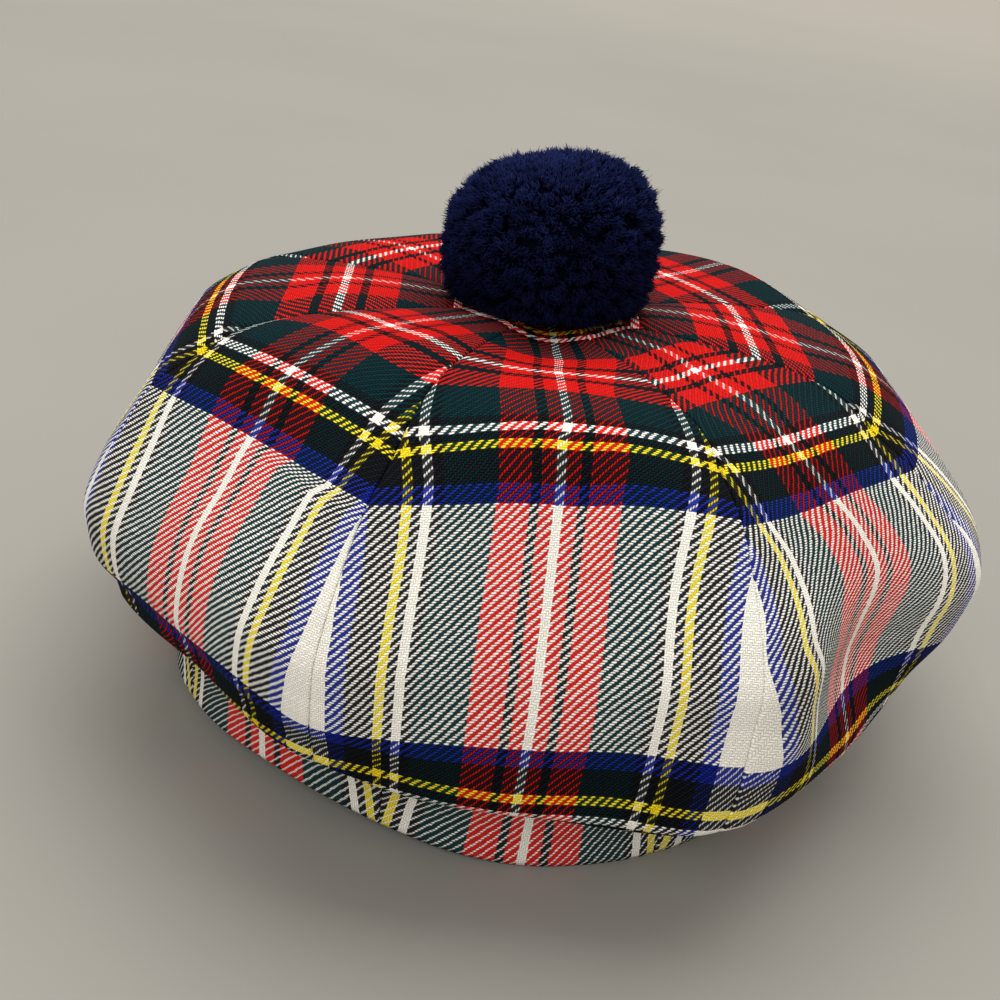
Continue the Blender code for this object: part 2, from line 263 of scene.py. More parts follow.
def wide_floor():
    corners = [(x * FLOOR_REACH, y * FLOOR_REACH, -FLOOR_CLEAR * MM) for x, y in
               ((-1, -1), (1, -1), (1, 1), (-1, 1))]
    mesh = bpy.data.meshes.new("floor")
    mesh.from_pydata(corners, [], [(0, 1, 2, 3)])
    mesh.materials.append(floor_finish())
    linked("floor", mesh)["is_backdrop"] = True


def panel_light(name, place, aim, side, watts, colour):
    """A square soft light at a place, turned to a point it lights."""
    light = bpy.data.lights.new(name, "AREA")
    light.size = side
    light.energy = watts
    light.color = colour
    made = linked(name, light)
    made.location = place
    made.rotation_euler = (Vector(aim) - Vector(place)).to_track_quat("-Z", "Y").to_euler()


def pale_sky(strength):
    world = bpy.data.worlds.new("pale_sky")
    world.use_nodes = True
    background = world.node_tree.nodes["Background"]
    background.inputs["Color"].default_value = SKY_GREY
    background.inputs["Strength"].default_value = strength
    bpy.context.scene.world = world


wide_floor()
panel_light("ceiling_panel", place=(0.1, 0.9, 2.4), aim=(0.0, 0.3, 0.08), side=2.6, watts=84.0,
            colour=(1.0, 0.985, 0.965))
panel_light("front_panel", place=(-0.5, -1.5, 1.3), aim=(0.0, 0.0, 0.08), side=1.0, watts=15.0,
            colour=(0.97, 0.98, 1.0))
pale_sky(strength=1.12)
bpy.context.scene.view_settings.view_transform = "Standard"
print("floor:", 2 * FLOOR_REACH, "m wide")

# %% [markdown]
# ## The form of the hat
#
# Every gore is worked out in its own flat pattern, as its cutter would draw it: across runs from -1
# at the left seam to 1 at the right one, and v counts weft threads out from the middle of the
# crown. The tables below are the same ones the solids were made from, so the dressed cloth lies
# where its solid lies. One gives the hat's profile along a seam and along a gore's middle, and one
# gives how far this soft hat has slumped out of that even form.

# %% The tables of the form
GORES = 8
GORE_STEP = 360.0 / GORES
CLOTH = 1.6
FLOOR_DROP = 107.5
FRONT_RISE = 8.5
SIDE_RISE = 3.0
RISE_REACH = 110.0
RISE_FULL = 24.0
RIM_SEAM_V = 318.0
EDGE_V = 388.0
ARCH_AZIMUTH = -36.0
ARCH_REACH = 46.0
ARCH_HEIGHT = 5.5
PRESS_DEPTH = 2.0
ARCH_V = (330.0, 388.0)
UNDER_TURN = 4.5
HAT_AXIS = (-7.932, -0.924)

PROFILE_COLUMNS = ("v", "middle_r", "middle_z", "seam_r", "seam_z")
PROFILE = (
    (0, 0, 11, 0, 11),
    (34, 20.3, 11.5, 22, 11),
    (66, 39.5, 12, 43, 11),
    (96, 57.5, 11.5, 62.5, 10),
    (122, 73, 10, 79.5, 7.5),
    (144, 86, 7.5, 91, 3.5),
    (158, 93.5, 3, 98.5, -2),
    (180, 101.5, -7, 111, -10.5),
    (205, 109, -20, 119.5, -22),
    (230, 115.5, -33, 127, -34.5),
    (255, 120.5, -46.5, 131.5, -47.5),
    (277, 123, -59.5, 131.5, -60.5),
    (298, 123.5, -71, 129.5, -71.5),
    (306, 122.5, -76.5, 128, -77),
    (318, 116.5, -81, 121.5, -81.5),
)
UNDER_COLUMNS = ("v", "middle_r", "seam_r", "z")
UNDER = (
    (318, 116.5, 121.5, -81.3),
    (332, 108.5, 110.5, -83),
    (344, 103, 104, -86),
    (356, 100.8, 101.2, -90.5),
    (372, 100.2, 100.4, -97.8),
    (388, 100, 100.2, -FLOOR_DROP),
)
# Lifts and swells of each seam and each middle, anticlockwise from the back as seen from above.
SLUMP_STEP = 22.5
SLUMP_COLUMNS = ("azimuth", "inner_lift", "ring_lift", "edge_lift", "hang_lift", "rim_lift",
                 "shoulder", "wall", "low", "rim")
SLUMP = (
    (-180, 0, 1, 1, 0, 0, 0, 1, 1, 1),
    (-157.5, 0, 2.5, 1.5, 0, 0, 0, 1, 1, 0),
    (-135, 0, 1, -1.5, 0, 0, 1, 2, 0, -1),
    (-112.5, 0, 1, 4, 0, 5, 0.5, -1.5, -3.5, -9),
    (-90, 0, 0, 2, 0, 8, 1, 1, -3.5, -11),
    (-67.5, 0, 0.5, 2, 0, 8.5, 0, -2, -4.5, -10.5),
    (-45, 1, 3, -1.5, 1, 10.5, 0, 2, 0, -5.5),
    (-22.5, 1, 3, -1, 0.5, 4, -1, -1, -2, -3.5),
    (0, -4, 0.5, 3, 1.5, -3, -1, -1, 0, -0.5),
    (22.5, 0, 1.5, 4, 5, -4, 0, 2, 1, 4),
    (45, -2, -3, -3.5, -1, -3.5, 1, 1, -5, 2.5),
    (67.5, -0.5, -0.5, -2.5, 4.5, 0, -1, 6.5, 4.5, -6),
    (90, 0.5, -0.5, 0.5, 2.5, 2, 8, 17, 13, 1),
    (112.5, 0, 0.5, 4.5, 0, 0, 9.5, 17, 12, 0),
    (135, 0, 1.5, 7, 0, 0, 6, 9, 6, 1),
    (157.5, 0, 4, 7, 0, 0, 0, 0, 1, 1),
)
INNER_LIFT_V = 60.0
RING_LIFT_V = 115.0
EDGE_LIFT_V = 158.0
SHOULDER_V = 180.0
WALL_V = 230.0
LOW_V = 272.0
RIM_V = 304.0
HANG_END_V = 350.0
MIDDLE_V = 20.0
MIDDLE_SHARE = 0.4
SWELL_ENDS = (144.0, 344.0)
FADE_SHIFTS = (-14.0, -7.0, 0.0, 7.0, 14.0)
FADE_SHARES = (0.12, 0.23, 0.30, 0.23, 0.12)
FOLD_COLUMNS = ("azimuth", "v", "reach_deg", "reach_v", "depth")
FOLDS = (
    (52, 262, 9, 40, -3.5),
    (31, 258, 8, 45, 2),
    (-33, 250, 7, 40, 2),
    (-11, 286, 6, 18, 1.2),
    (10, 292, 7, 16, -1.2),
    (-56, 278, 7, 22, -1.5),
    (79, 232, 10, 34, 1.5),
    (128, 268, 9, 34, -3),
    (-142, 264, 10, 36, -2.5),
    (170, 270, 10, 30, 2),
)
FOLDS_END = (306.0, 340.0)
ROUNDNESS_V = (0.0, 158.0, 205.0, 260.0, 318.0)
ROUNDNESS = (0.0, 0.1, 0.35, 0.8, 0.9)

# %% [markdown]
# The tables hold a few stations only. A curve with no overshoot carries each column from one
# station to the next, straight fades are rounded by averaging them, and the rise makes the hat
# stand a little taller at its front, as it does in the photograph. Everything is asked for by
# azimuth, so the gores under the rim can sit a few degrees round from the crown's.

# %% Curves between the stations
def column(rows, names, wanted):
    """One named column of a table, as an array."""
    return np.array([row[names.index(wanted)] for row in rows])


def smooth_curve(stations, values, at):
    """A curve through the stations with no overshoot (monotone cubic)."""
    step = np.diff(stations)
    slope = np.diff(values) / step
    tangent = np.zeros(len(values))
    tangent[0] = slope[0]
    tangent[-1] = slope[-1]
    for i in range(1, len(values) - 1):
        if slope[i - 1] * slope[i] > 0:
            before = 2 * step[i] + step[i - 1]
            after = step[i] + 2 * step[i - 1]
            tangent[i] = (before + after) / (before / slope[i - 1] + after / slope[i])
    cell = np.clip(np.searchsorted(stations, at, side="right") - 1, 0, len(step) - 1)
    s = (at - stations[cell]) / step[cell]
    return (
        (1 + 2 * s) * (1 - s) ** 2 * values[cell]
        + s * (1 - s) ** 2 * step[cell] * tangent[cell]
        + s * s * (3 - 2 * s) * values[cell + 1]
        + s * s * (s - 1) * step[cell] * tangent[cell + 1]
    )


def even_form(v, kind):
    """Radius and height of the even hat at v, along a seam or along a gore's middle."""
    crown_v = column(PROFILE, PROFILE_COLUMNS, "v")
    under_v = column(UNDER, UNDER_COLUMNS, "v")

    def joined(crown_name, under_name):
        crown = column(PROFILE, PROFILE_COLUMNS, crown_name)
        under = column(UNDER, UNDER_COLUMNS, under_name)
        on_crown = smooth_curve(crown_v, crown, np.minimum(v, RIM_SEAM_V))
        on_under = smooth_curve(under_v, under, np.maximum(v, RIM_SEAM_V))
        return np.where(v <= RIM_SEAM_V, on_crown, on_under)

    return joined(kind + "_r", kind + "_r"), joined(kind + "_z", "z")


print("across the even rim:", 2 * even_form(np.array([RIM_SEAM_V]), "seam")[0][0], "mm")


# %% The slump
def fade(v, stations, values):
    """Straight from one station's value to the next; a value may differ from place to place."""
    total = values[0]
    for i in range(len(stations) - 1):
        share = np.clip((v - stations[i]) / (stations[i + 1] - stations[i]), 0.0, 1.0)
        total = total + share * (values[i + 1] - values[i])
    return total


def slump(v, azimuth):
    """What the line at this azimuth (a seam or a middle) is out by: lift and radius."""
    row = np.rint((azimuth + 180.0) / SLUMP_STEP).astype(int) % len(SLUMP)

    def value(name):
        return column(SLUMP, SLUMP_COLUMNS, name)[row]

    lift = fade(
        v,
        (MIDDLE_V, INNER_LIFT_V, RING_LIFT_V, EDGE_LIFT_V, LOW_V, RIM_V, HANG_END_V),
        (value("inner_lift") * MIDDLE_SHARE, value("inner_lift"), value("ring_lift"),
         value("edge_lift"), value("hang_lift"), value("rim_lift"), 0.0),
    )
    swell = fade(
        v,
        (SWELL_ENDS[0], SHOULDER_V, WALL_V, LOW_V, RIM_V, SWELL_ENDS[1]),
        (0.0, value("shoulder"), value("wall"), value("low"), value("rim"), 0.0),
    )
    return lift, swell


def smooth_slump(v, azimuth):
    """The same, with the corners of its straight fades rounded off."""
    shifted = [slump(v + shift, azimuth) for shift in FADE_SHIFTS]
    return [sum(share * one for share, one in zip(FADE_SHARES, ones)) for ones in zip(*shifted)]


def folds(v, azimuth):
    """Sum of the soft dents and lobes at these places."""
    total = np.zeros(np.broadcast(v, azimuth).shape)
    for row in FOLDS:
        fold = dict(zip(FOLD_COLUMNS, row))
        turn = (azimuth - fold["azimuth"] + 180.0) % 360.0 - 180.0
        along = (v - fold["v"]) / fold["reach_v"]
        total += fold["depth"] * np.exp(-((turn / fold["reach_deg"]) ** 2) - along**2)
    return total * np.interp(v, FOLDS_END, (1.0, 0.0))


def arch_share(azimuth):
    """1 in the middle of the arch, falling to 0 at its two ends."""
    turn = (azimuth - ARCH_AZIMUTH + 180.0) % 360.0 - 180.0
    return np.cos(0.5 * np.pi * np.clip(turn / ARCH_REACH, -1.0, 1.0)) ** 2


# %% The outer face
def hat_surface(azimuth, v):
    """(radius, height) of the hat's outer face: through the crown gore that this azimuth is on."""
    gore_middle = GORE_STEP * np.rint(azimuth / GORE_STEP)
    across = np.tan(np.radians(azimuth - gore_middle)) / math.tan(math.pi / GORES)
    middle_r, middle_z = even_form(v, "middle")
    seam_r, seam_z = even_form(v, "seam")
    middle_lift, middle_swell = smooth_slump(v, gore_middle)
    seam_lift, seam_swell = smooth_slump(v, gore_middle + np.sign(across) * GORE_STEP / 2)
    roundness = np.interp(v, ROUNDNESS_V, ROUNDNESS)
    toward_seam = (1 - roundness) * across**2 + roundness * 0.5 * (1 - np.cos(np.pi * across))
    radius = middle_r + middle_swell + (seam_r + seam_swell - middle_r - middle_swell) * toward_seam
    height = middle_z + middle_lift + (seam_z + seam_lift - middle_z - middle_lift) * toward_seam
    arch = arch_share(azimuth) * np.interp(v, ARCH_V, (0.0, 1.0))
    return radius + folds(v, azimuth) - PRESS_DEPTH * arch, height + ARCH_HEIGHT * arch


def outward(azimuth, v):
    """Unit normal in the plane through the hat's axis, so two gores agree along their seam."""
    small = 0.5
    r0, z0 = hat_surface(azimuth, v - small)
    r1, z1 = hat_surface(azimuth, v + small)
    length = np.hypot(r1 - r0, z1 - z0)
    return -(z1 - z0) / length, (r1 - r0) / length


def rise(x, y):
    """How much taller the hat stands here than its lowest side."""
    toward_front = np.clip(0.5 - 0.5 * y / RISE_REACH, 0.0, 1.0)
    return FRONT_RISE * toward_front**2 + SIDE_RISE * x / RISE_REACH


def placed(radius, height, azimuth, tangential):
    """Cylindrical to Cartesian, in millimetres of the frame; the opening's edge is z = 0."""
    turn = np.radians(azimuth)
    x = radius * np.sin(turn) + tangential * np.cos(turn)
    y = -radius * np.cos(turn) + tangential * np.sin(turn)
    z = height + FLOOR_DROP
    z = z + rise(x, y) * np.clip(z / RISE_FULL, 0.0, 1.0)
    return np.stack([x + HAT_AXIS[0], y + HAT_AXIS[1], z], axis=-1)


# %% [markdown]
# ## Soft seams and a soft hand
#
# On the real hat two gores are sewn right sides together and the allowances are pressed open, so
# each seam is a thin dark valley between two rolled edges, a little below the cloth beside it. A
# groove could be painted, but from the side it has to be in the mesh. So the columns of each gore
# crowd together near its seams, and there the face rolls down into the wall. Broad, very low
# waves, worked out from noise, stop the cloth between the seams from looking machined.

# %% Seams and waves
SEAM_STEPS = (0.0, 0.2, 0.45, 0.8, 1.3, 2.1, 3.4, 5.2)
SEAM_FULL_WIDTH = 20.0
SEAM_ROLL = 0.9
SEAM_DEPTH = 0.75
SEAM_PULL = 0.35
SEAM_PULL_REACH = 2.6
ALLOWANCE_LIFT = 0.16
ALLOWANCE_AT = 6.5
ALLOWANCE_REACH = 2.2
SEAM_OPEN = 0.03
WAVE_HEIGHT = 0.55
WAVE_LENGTH = 26.0
WAVE_FADE = 6.0
HEM_ROUND = 0.8


def groove(distance):
    """How far the face lies below the smooth cloth, this many millimetres from a seam."""
    roll = np.clip(1 - distance / SEAM_ROLL, 0.0, 1.0)
    rolled = SEAM_DEPTH * (1 - np.sqrt(1 - roll**2))
    pulled = SEAM_PULL * np.exp(-distance / SEAM_PULL_REACH)
    pressed = ALLOWANCE_LIFT * np.exp(-(((distance - ALLOWANCE_AT) / ALLOWANCE_REACH) ** 2))
    return rolled + pulled - pressed


print("valley of a seam:", round(float(groove(0.0)), 2), "mm deep")


def waves(points):
    """Low waves of the cloth at these points, in millimetres."""
    flat = points.reshape(-1, 3) / WAVE_LENGTH
    heights = [noise.noise(Vector(point)) for point in flat]
    return WAVE_HEIGHT * np.array(heights).reshape(points.shape[:-1])


def half_width(v):
    """From the middle of a gore to its seam, in millimetres."""
    return even_form(v, "middle")[0] * math.tan(math.pi / GORES)


def from_edge(width, middle_columns):
    """Distances from a seam to the gore's middle, crowded near the seam."""
    near = np.array(SEAM_STEPS) * min(1.0, width / SEAM_FULL_WIDTH)
    rest = np.linspace(near[-1], width, middle_columns + 1)[1:]
    return np.concatenate([near, rest])


def across_grid(rows, middle_columns):
    """Where each column of each row lies, from -1 to 1 across the gore."""
    grid = []
    for width in half_width(rows):
        right = 1 - from_edge(width, middle_columns) / width
        grid.append(np.concatenate([-right, right[-2::-1]]))
    return np.array(grid)


# %% [markdown]
# ## Which thread lies where
#
# The tartan has to run straight through each gore and meet its neighbour along the seam in a
# mitre. A UV map does that, but its numbers don't have to be shares of an image: here they count
# threads, warp ends out from the gore's middle and weft picks out from the crown's. A chart says
# which end lies at five places across the cloth, for a few rows of picks; all of them start from 0
# in the middle of the crown. The three gores at the back use the even chart. A soft hat is never
# cut and sewn to the thread, so the gores that the photograph shows have charts of their own, and
# three of those have a second one, for how far their picks have crept.

# %% Charts of the threads
PICK = 0.6
CHART_PLACES = np.array((-1.0, -0.5, 0.0, 0.5, 1.0))
CHART_COLUMNS = ("gore", "v", "left", "left_half", "middle", "right_half", "right")
CROWN_MIDDLE = (0,) * len(CHART_COLUMNS)
EVEN = 0
EVEN_ENDS = (
    (42, 19), (96, 44), (122, 54), (150, 62), (158, 66), (180, 78), (230, 91), (277, 96), (318, 98),
)
ENDS_CHART = (
    *((EVEN, v, -ends, -ends / 2, 0, ends / 2, ends) for v, ends in EVEN_ENDS),
    (1, 42, -19, -11, -3, 8, 19),
    (1, 70, -36, -20, -3, 12, 28),
    (1, 96, -46, -23, -1, 21, 43),
    (1, 122, -54, -27, -1, 30, 58),
    (1, 150, -62, -33, -2, 32, 64),
    (1, 158, -67, -35, 0, 32, 66),
    (1, 180, -78, -41, -1, 38, 76),
    (1, 230, -89, -44, -1, 47, 96),
    (1, 277, -93, -46, -1, 48, 99),
    (1, 318, -94, -47, -1, 49, 100),
    (8, 42, -19, -10, -1, 9, 20),
    (8, 96, -46, -26, -3, 24, 50),
    (8, 122, -56, -27, 3, 36, 57),
    (8, 150, -60, -28, 4, 36, 67),
    (8, 158, -63, -27, 3, 34, 72),
    (8, 180, -76, -35, -1, 33, 83),
    (8, 188, -77, -38, -1, 42, 86),
    (8, 205, -79, -43, -2, 44, 89),
    (8, 230, -82, -47, 0, 46, 92),
    (8, 277, -84, -45, -2, 48, 100),
    (8, 318, -86, -46, -2, 48, 101),
    (2, 42, -19, -10, -1, 8, 18),
    (2, 70, -30, -17, -4, 13, 31),
    (2, 96, -30, -13, 3, 21, 38),
    (2, 122, -34, -15, 4, 29, 54),
    (2, 150, -54, -20, 14, 39, 61),
    (2, 158, -62, -24, 12, 40, 66),
    (2, 180, -73, -31, 1, 43, 75),
    (2, 198, -84, -44, -12, 34, 80),
    (2, 217, -87, -48, -19, 28, 84),
    (2, 231, -86, -47, -15, 32, 88),
    (2, 246, -89, -54, -10, 40, 91),
    (2, 265, -95, -61, -8, 48, 95),
    (2, 284, -98, -69, -5, 49, 97),
    (2, 318, -98, -60, -5, 49, 98),
    (3, 42, -19, -11, -3, 6, 17),
    (3, 96, -38, -18, 2, 14, 27),
    (3, 122, -38, -12, 8, 22, 38),
    (3, 150, -60, -19, 16, 38, 60),
    (3, 180, -75, -32, 6, 42, 77),
    (3, 230, -90, -45, 0, 45, 91),
    (3, 318, -98, -49, 0, 49, 98),
    (7, 42, -19, -8, 2, 11, 20),
    (7, 96, -40, -14, 8, 28, 48),
    (7, 122, -44, -20, 1, 22, 44),
    (7, 150, -62, -34, -4, 29, 60),
    (7, 158, -66, -38, -8, 27, 63),
    (7, 180, -78, -40, -2, 38, 77),
    (7, 230, -91, -45, 0, 45, 88),
    (7, 318, -98, -49, 0, 49, 98),
)
CREEP_CHART = (
    (EVEN, 318, 0, 0, 0, 0, 0),
    (1, 122, 0, 0, 0, 0, 0),
    (1, 150, -1, 2, 1, -1, 1),
    (1, 158, 0, 1.5, 1.5, -1.5, 0),
    (1, 181, -1, 3, 3.5, -1, -2.5),
    (1, 240, 0, 0, 0, 0, 0),
    (1, 277, 4, 0, 1, -2, 2),
    (1, 300, 4, -2, -1, -4, -2),
    (1, 318, 6, 0, 0, -3, -2),
    (2, 96, 1, -1, -4, -3, 0),
    (2, 122, 0, -4, -5, -3, 0),
    (2, 150, 0, 0, 0, 0, 0),
    (2, 240, 0, 0, 0, 0, 0),
    (2, 277, 5, 13, 3, -5, 3),
    (2, 300, -1, -1, -2, -9, 0),
    (2, 318, -1, 0, 0, 0, 0),
    (8, 96, 0, 4, 7, 1, 0),
    (8, 122, 0, 0, 1, 2, 0),
    (8, 150, 0, 0, 0, 0, 0),
    (8, 181, 0, 0, 1, 0, -2),
    (8, 240, 0, 0, 0, 0, 0),
    (8, 277, 0, 1, 3, -3, 4),
    (8, 292, 6, 9, 12, 5, 4),
    (8, 300, 8, 13, 15, 6, 2),
    (8, 308, 8, 11, 11, 5, 1),
    (8, 318, 8, 12, 11, 8, 2),
)
UNDER_ENDS = (81.0, 65.0)
UNDER_PICK_SHIFT = 124.0
print("ends across an even gore at the rim:", 2 * EVEN_ENDS[-1][1])


# %% Thread counts
def from_chart(chart, gore, share, v):
    """Reads a chart of this gore at rows v, and at these shares of the way to its seams."""
    own = [row for row in chart if row[0] == gore] or [row for row in chart if row[0] == EVEN]
    rows = [CROWN_MIDDLE] + own
    stations = column(rows, CHART_COLUMNS, "v")
    at_rows = [smooth_curve(stations, column(rows, CHART_COLUMNS, place), v[:, 0])
               for place in CHART_COLUMNS[2:]]
    return np.array([smooth_curve(CHART_PLACES, values, at)
                     for values, at in zip(np.transpose(at_rows), share)])


def share_of_width(points):
    """How far each point lies from its row's middle, 0, to its seams, -1 and 1, along the cloth."""
    steps = np.linalg.norm(np.diff(points, axis=1), axis=-1)
    along = np.concatenate([np.zeros((len(points), 1)), np.cumsum(steps, axis=1)], axis=1)
    middle = along[:, along.shape[1] // 2][:, None]
    return np.where(along < middle, along / middle - 1, (along - middle) / (along[:, -1:] - middle))


def crown_threads(gore, share, v):
    """(warp end, weft pick) at these places of a crown gore."""
    ends = from_chart(ENDS_CHART, gore, share, v)
    picks = v - from_chart(CREEP_CHART, gore, share, v)
    return np.stack([ends, picks], axis=-1)


def under_threads(_gore, share, v):
    """The same for any gore under the rim, cut from the plain ground between two bands."""
    ends = share * np.interp(v, (RIM_SEAM_V, EDGE_V), UNDER_ENDS)
    return np.stack([ends, v - UNDER_PICK_SHIFT], axis=-1)


# %% [markdown]
# ## The weave
#
# The cloth is an even 2/2 twill: each thread passes over two and under two, one step along in each
# row, so its floats climb in diagonals. From the two thread counts a shader can tell which thread
# lies on top, how far along its float a point is, and what colour that thread was dyed. The sett is
# a weaver's count of coloured threads from one pivot to the other, folded back at both.

# %% The sett
YARNS = {
    "white": dyed(248, 246, 239),
    "red": dyed(208, 28, 24),
    "black": dyed(20, 23, 28),
    "green": dyed(4, 47, 53),
    "yellow": dyed(238, 218, 52),
    "blue": dyed(26, 42, 138),
}
SETT = (
    ("white", 2), ("red", 6), ("black", 4), ("red", 14), ("green", 22), ("black", 4), ("white", 4),
    ("black", 4), ("yellow", 4), ("black", 13), ("blue", 8), ("white", 48),
)
SETT_THREADS = float(sum(count for _, count in SETT))
PIVOT_PICK = 96.0


def sett_stops():
    """The stops of a stepped colour ramp that holds the sett."""
    stops = []
    start = 0
    for yarn, count in SETT:
        stops.append((start / SETT_THREADS, YARNS[yarn]))
        start += count
    return ("CONSTANT", stops)


print("threads from pivot to pivot:", int(SETT_THREADS))

# %% [markdown]
# A float is a short round bar: it is highest in the middle of its width and length. That height
# does three things. It drives a bump, it paints shade into the gaps where one thread dives under
# the next, and it leaves the tops unshaded. Near its two ends a float is tucked under its
# neighbours, and its colour is mixed towards the product of both dyes, partly the dye beneath and
# partly painted shade, so a white thread over dark ones shows as a row of grains. Twisted yarn
# pulls each float askew, so it leans along the twill. On the crown the weft covers a little more
# than the warp does;
# on the under-brim the warp covers more. Loose fibres blur every crossing, so a little of both dyes
# shows there. Real worsted is never even, so noise moves the threads a little and lightens some of
# them.

# %% Threads and floats
TWILL_REPEAT = 4.0
CROWN_WARP_SHARE = 1.65
UNDER_WARP_SHARE = 2.5
FLOAT_LEAN = 0.8
WARP_TUCK_SHADE = (0.25, 1.0)
WEFT_TUCK_SHADE = (0.0, 0.7)
THREAD_WANDER = 1.1
DRIFT = {"Scale": 0.35, "Detail": 2.0}
GAP_SHADE_ENDS = (0.12, 0.85)
GAP_SHADE = 0.3
NEIGHBOUR_FUZZ = 0.02
BUMP_HEIGHT = 0.12
FIBRE = {"Scale": 2.6, "Detail": 3.0}
FIBRE_HEIGHT = 0.3
FIBRE_TONE = 0.3
THREAD_TONE = 0.12
LEAST_TONE = 0.82


def bulge(share):
    """0 at both ends of a width and 1 in its middle."""
    return 1.0 - (share * 2.0 - 1.0) ** 2.0


def yarn_colour(cloth, number):
    """The dye of the thread with this number, out from a pivot of the sett."""
    folded = (number + 0.5).math("PINGPONG", number + 0.5, SETT_THREADS) / SETT_THREADS
    return cloth.node("ShaderNodeValToRGB", {"stops": sett_stops()}, {0: folded})


def thread_tone(cloth, number, seed):
    """A small difference in tone from one thread to the next."""
    place = cloth.node("ShaderNodeCombineXYZ", inputs={0: number, 1: seed})
    return cloth.node("ShaderNodeTexWhiteNoise", {"noise_dimensions": "2D"}, {"Vector": place})


def tucked_with_shade(cloth, yarn, gap_dye_and_shade, along, tuck_shade):
    """A float's colour: its own in the middle, and at its two ends towards the gap's dyes and
    shade.
    """
    middle, ends = tuck_shade
    return cloth.mix(bulge(along) * (middle - ends) + ends, yarn, gap_dye_and_shade)


def float_height(across, along):
    return bulge(across) * (bulge(along) * 0.5 + 0.5)


# %% Twill
def tartan_twill(name, warp_share):
    cloth = Finish(name, Roughness=0.85, Specular_IOR_Level=0.05)
    threads = cloth.node("ShaderNodeUVMap", {"uv_map": "threads"})
    place = cloth.node("ShaderNodeSeparateXYZ", inputs={0: threads})
    drift = cloth.node("ShaderNodeTexNoise", inputs={"Vector": threads, **DRIFT}, output="Color")
    drifts = cloth.node("ShaderNodeSeparateXYZ", inputs={0: drift})
    warp = place + (drifts - 0.5) * THREAD_WANDER
    weft = place.output("Y") + (drifts.output("Y") - 0.5) * THREAD_WANDER
    end = warp.floor()
    pick = weft.floor()
    in_end = warp - end
    in_pick = weft - pick
    lean = (in_end + in_pick - 1.0) * FLOAT_LEAN
    step = (end + pick + lean + (warp_share / 2 - 0.5)) % TWILL_REPEAT
    warp_on_top = step < warp_share
    along_warp = step / warp_share
    along_weft = (step - warp_share) / (TWILL_REPEAT - warp_share)
    warp_height = float_height(in_end, along_warp)
    weft_height = float_height(in_pick, along_weft)
    height = weft_height + (warp_height - weft_height) * warp_on_top
    warp_yarn = yarn_colour(cloth, end)
    weft_yarn = yarn_colour(cloth, pick - PIVOT_PICK)
    # the gap's colour, the product of both dyes: partly the dye beneath, partly painted shade
    gap_dye_and_shade = cloth.mix(1.0, warp_yarn, weft_yarn, "MULTIPLY")
    warp_top = tucked_with_shade(cloth, warp_yarn, gap_dye_and_shade, along_warp, WARP_TUCK_SHADE)
    weft_top = tucked_with_shade(cloth, weft_yarn, gap_dye_and_shade, along_weft, WEFT_TUCK_SHADE)
    top = cloth.mix(warp_on_top, weft_top, warp_top)
    # painted shade: the gaps between floats are darkened, and the tops are left unshaded
    unshaded_top = cloth.soft_step(height, *GAP_SHADE_ENDS)
    both = cloth.mix(0.5, warp_yarn, weft_yarn)
    colour = cloth.mix(NEIGHBOUR_FUZZ, cloth.mix(unshaded_top, gap_dye_and_shade, top), both)
    warp_tone = thread_tone(cloth, end, 1.0)
    weft_tone = thread_tone(cloth, pick, 2.0)
    tone = warp_tone * warp_on_top + weft_tone * (1.0 - warp_on_top)
    fibre = cloth.node("ShaderNodeTexNoise", inputs={"Vector": threads, **FIBRE})
    unevenness = tone * THREAD_TONE + fibre * FIBRE_TONE + LEAST_TONE
    # painted gap shade, times the random tone of threads and fibres
    gap_shade_and_tone = (unshaded_top * GAP_SHADE + (1.0 - GAP_SHADE)) * unevenness
    gap_shade_and_tone_grey = cloth.node("ShaderNodeCombineColor", inputs={0: gap_shade_and_tone, 1: gap_shade_and_tone, 2: gap_shade_and_tone})
    bump = cloth.node("ShaderNodeBump", inputs={
        "Height": height + fibre * FIBRE_HEIGHT,
        "Distance": BUMP_HEIGHT * MM,
        "Strength": 1.0,
    })
    return cloth.surface(Base_Color=cloth.mix(1.0, colour, gap_shade_and_tone_grey, "MULTIPLY"), Normal=bump)


crown_twill = tartan_twill("crown_twill", CROWN_WARP_SHARE)
under_twill = tartan_twill("under_twill", UNDER_WARP_SHARE)
print("nodes in the twill:", len(crown_twill.node_tree.nodes))

# %% [markdown]
# ## Making a gore
#
# A gore is a closed wall of cloth between an outer and an inner grid of points. Both grids come
# from the form above, the outer one with its grooves and waves. The mesh is filled from arrays,
# which is quick, and each corner is given its thread counts. A second map, used when the colours
# are baked, lays the two faces out flat side by side.

# %% Grids to meshes
BAKE_MARGIN = 1.05


def grid_quads(rows, columns, first):
    """Quads of a grid of points, facing one way."""
    index = first + np.arange(rows * columns).reshape(rows, columns)
    quads = np.stack([index[:-1, :-1], index[1:, :-1], index[1:, 1:], index[:-1, 1:]], axis=-1)
    return quads.reshape(-1, 4)


def rim_quads(rows, columns):
    """The narrow quads that join the outer grid to the inner one along all four edges."""
    outer = np.arange(rows * columns).reshape(rows, columns)
    edges = (outer[0], outer[::-1, 0], outer[-1, ::-1], outer[:, -1])
    pairs = [(edge, edge + rows * columns) for edge in edges]
    return np.concatenate([np.stack([a[:-1], a[1:], b[1:], b[:-1]], axis=-1) for a, b in pairs])


